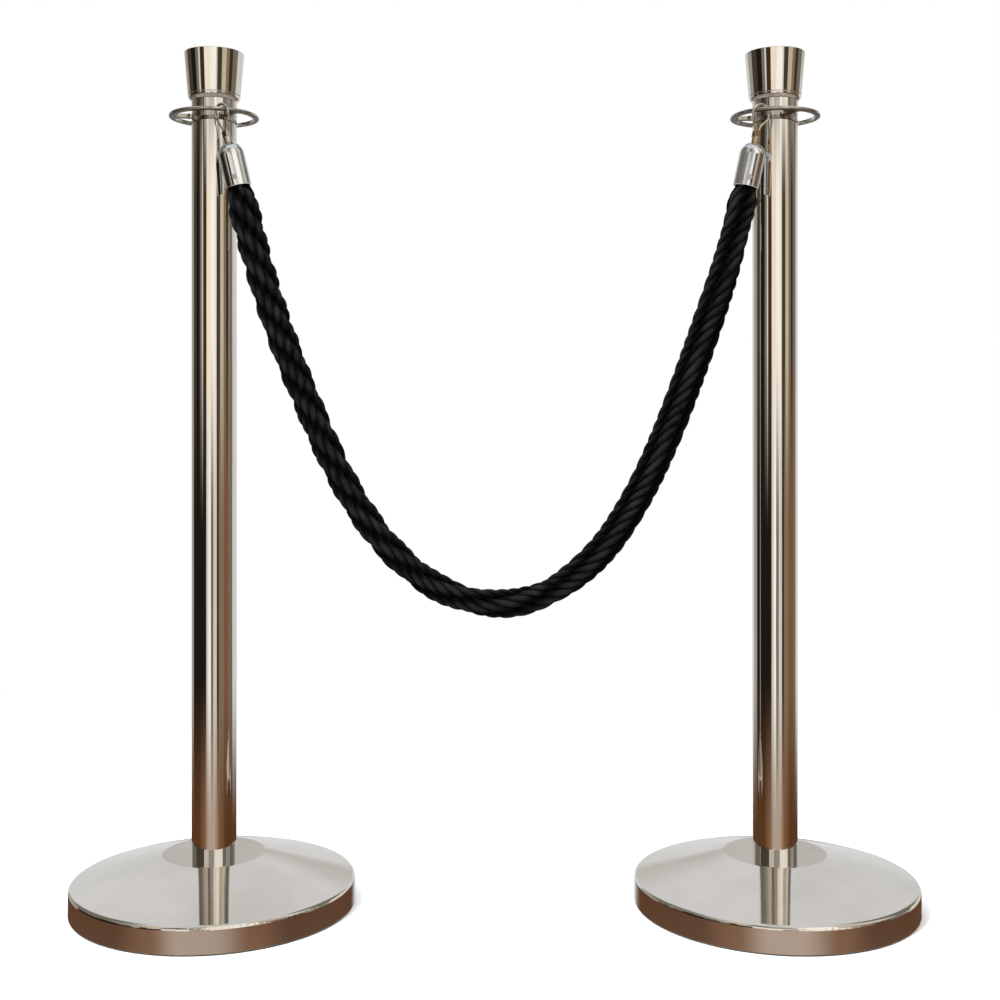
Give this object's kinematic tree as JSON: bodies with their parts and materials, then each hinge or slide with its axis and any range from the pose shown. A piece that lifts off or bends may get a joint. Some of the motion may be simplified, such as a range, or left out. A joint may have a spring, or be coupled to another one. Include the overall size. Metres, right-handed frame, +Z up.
{
  "type": "rope barrier stanchion set",
  "caption": "Polished crown-top rope barrier stanchions on weighted round bases, joined by a hanging twisted rope with ferrules and snap hooks.",
  "frame": {"origin": "on the floor, midway between the two posts' axes", "axes": "+Z up, +X from the left post to the right post, -Y the side where the rope is clipped"},
  "size_m": [0.96, 0.32, 0.969],
  "materials": {
    "polished_steel": "mirror polished stainless steel",
    "ring_steel": "polished stainless steel",
    "ferrule_metal": "chrome plated",
    "hook_metal": "plated, a little worn",
    "plain_steel": "plain",
    "cast_iron": "rough",
    "rubber": "matt",
    "rope_fibre": "soft sheen"
  },
  "bodies": {
    "posts": {"left_floor_pad": "rubber", "left_base_weight": "cast_iron", "left_base_cover": "polished_steel", "left_base_bolt": "plain_steel", "left_base_washer": "plain_steel", "left_post_tube": "polished_steel", "left_foot_plug": "plain_steel", "left_top_plug": "plain_steel", "left_rope_ring": "ring_steel", "left_neck_sleeve": "polished_steel", "left_crown_seat": "polished_steel", "left_crown_shell": "polished_steel", "left_crown_cap": "polished_steel", "left_head_stud": "plain_steel", "left_stud_washer": "plain_steel", "left_stud_nut": "plain_steel", "right_floor_pad": "rubber", "right_base_weight": "cast_iron", "right_base_cover": "polished_steel", "right_base_bolt": "plain_steel", "right_base_washer": "plain_steel", "right_post_tube": "polished_steel", "right_foot_plug": "plain_steel", "right_top_plug": "plain_steel", "right_rope_ring": "ring_steel", "right_neck_sleeve": "polished_steel", "right_crown_seat": "polished_steel", "right_crown_shell": "polished_steel", "right_crown_cap": "polished_steel", "right_head_stud": "plain_steel", "right_stud_washer": "plain_steel", "right_stud_nut": "plain_steel"},
    "rope_line": {"rope": "rope_fibre", "left_ferrule": "ferrule_metal", "left_ferrule_screw": "plain_steel", "right_ferrule": "ferrule_metal", "right_ferrule_screw": "plain_steel"},
    "left_hook_body": {"left_hook": "hook_metal", "left_swivel_washer": "plain_steel", "left_gate_pin": "plain_steel", "left_gate_spring": "plain_steel"},
    "left_gate_body": {"left_gate": "hook_metal"},
    "right_hook_body": {"right_hook": "hook_metal", "right_swivel_washer": "plain_steel", "right_gate_pin": "plain_steel", "right_gate_spring": "plain_steel"},
    "right_gate_body": {"right_gate": "hook_metal"}
  },
  "joints": [
    {"name": "rope_swing", "type": "hinge", "parent": "posts", "child": "rope_line", "pos_m": [0, -0.04234, 0.8955], "axis": [-1, -0.0042, 0], "range_deg": [-8, 50]},
    {"name": "left_hook_swivel", "type": "hinge", "parent": "rope_line", "child": "left_hook_body", "pos_m": [-0.29524, -0.04355, 0.85872], "axis": [-0.2249, -0.0009, 0.9744], "range_deg": [-25, 6]},
    {"name": "left_gate_open", "type": "hinge", "parent": "left_hook_body", "child": "left_gate_body", "pos_m": [-0.29947, -0.04197, 0.86903], "axis": [0.6435, 0.7508, 0.1492], "range_deg": [0, 22], "stiffness_Nm_per_rad": 0.02, "springref_deg": -11.46},
    {"name": "right_hook_swivel", "type": "hinge", "parent": "rope_line", "child": "right_hook_body", "pos_m": [0.28937, -0.04116, 0.85891], "axis": [0.2075, 0.0008, 0.9782], "range_deg": [-2, 25]},
    {"name": "right_gate_open", "type": "hinge", "parent": "right_hook_body", "child": "right_gate_body", "pos_m": [0.28956, -0.04222, 0.87012], "axis": [-0.4365, 0.895, 0.0918], "range_deg": [0, 22], "stiffness_Nm_per_rad": 0.02, "springref_deg": -11.46}
  ]
}
